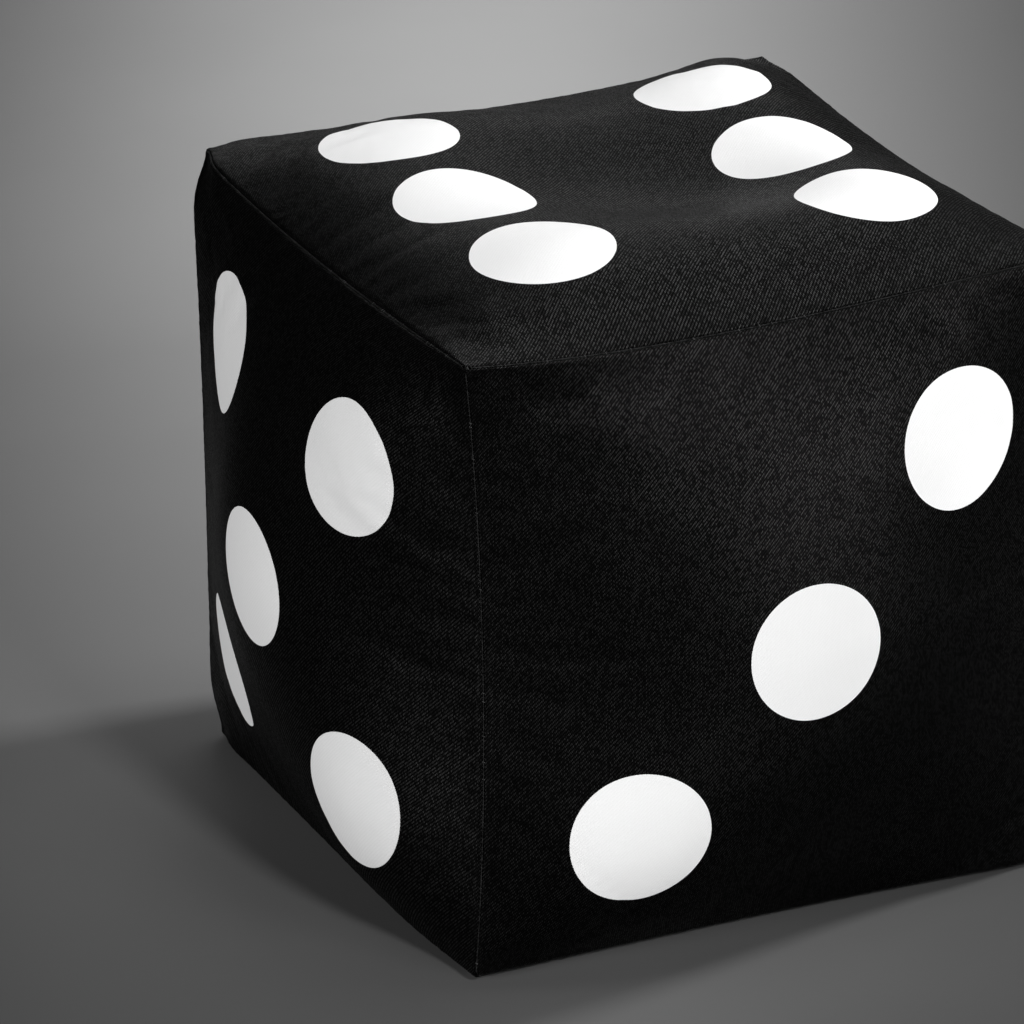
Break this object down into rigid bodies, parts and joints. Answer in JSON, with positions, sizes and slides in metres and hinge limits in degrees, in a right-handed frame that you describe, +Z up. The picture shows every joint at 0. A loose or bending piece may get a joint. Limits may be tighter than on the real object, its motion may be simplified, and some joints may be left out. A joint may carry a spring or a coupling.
{
  "type": "soft giant dice pouf",
  "caption": "Sewn fabric cube shaped and printed as a giant die: a zipped cover in panels over a liner bag with a bead filling.",
  "frame": {"origin": "middle of the base, on the ground", "axes": "+Z up; the face with three dots looks along -Y, the face with five along -X, and the zip is low on the +Y side"},
  "size_m": [0.5692, 0.5692, 0.4765],
  "materials": {
    "cover_cloth": "matte",
    "cover_thread": "matte",
    "zip_tape": "matte",
    "zip_coil": "satin",
    "zip_metal": "satin",
    "liner_cloth": "matte",
    "liner_thread": "matte",
    "beads": "matte"
  },
  "bodies": {
    "cushion": {"cover_top_panel": "cover_cloth", "cover_front_panel": "cover_cloth", "cover_left_panel": "cover_cloth", "cover_right_panel": "cover_cloth", "cover_back_panel": "cover_cloth", "cover_back_lower_panel": "cover_cloth", "cover_bottom_panel": "cover_cloth", "seam_thread_top_front": "cover_thread", "seam_thread_top_right": "cover_thread", "seam_thread_top_back": "cover_thread", "seam_thread_top_left": "cover_thread", "seam_thread_bottom_front": "cover_thread", "seam_thread_bottom_right": "cover_thread", "seam_thread_bottom_back": "cover_thread", "seam_thread_bottom_left": "cover_thread", "seam_thread_front_left": "cover_thread", "seam_thread_front_right": "cover_thread", "seam_thread_back_left": "cover_thread", "seam_thread_back_right": "cover_thread", "seam_thread_zip_left": "cover_thread", "seam_thread_zip_right": "cover_thread", "zip_upper_tape": "zip_tape", "zip_lower_tape": "zip_tape", "zip_upper_coil": "zip_coil", "zip_lower_coil": "zip_coil", "zip_upper_top_stop": "zip_metal", "zip_lower_top_stop": "zip_metal", "zip_bottom_stop": "zip_metal", "liner_top_panel": "liner_cloth", "liner_bottom_panel": "liner_cloth", "liner_side_band": "liner_cloth", "liner_thread_top": "liner_thread", "liner_thread_bottom": "liner_thread", "bead_filling": "beads"},
    "slider": {"zip_slider": "zip_metal"},
    "pull_tab": {"zip_pull_tab": "zip_metal"}
  },
  "joints": [
    {"name": "zip_travel", "type": "slide", "parent": "cushion", "child": "slider", "axis": [-1, 0, 0], "range_m": [0, 0.3184]},
    {"name": "tab_swing", "type": "hinge", "parent": "slider", "child": "pull_tab", "pos_m": [0.1592, 0.23221, 0.045], "axis": [0, 0, -1], "range_deg": [0, 175]}
  ]
}
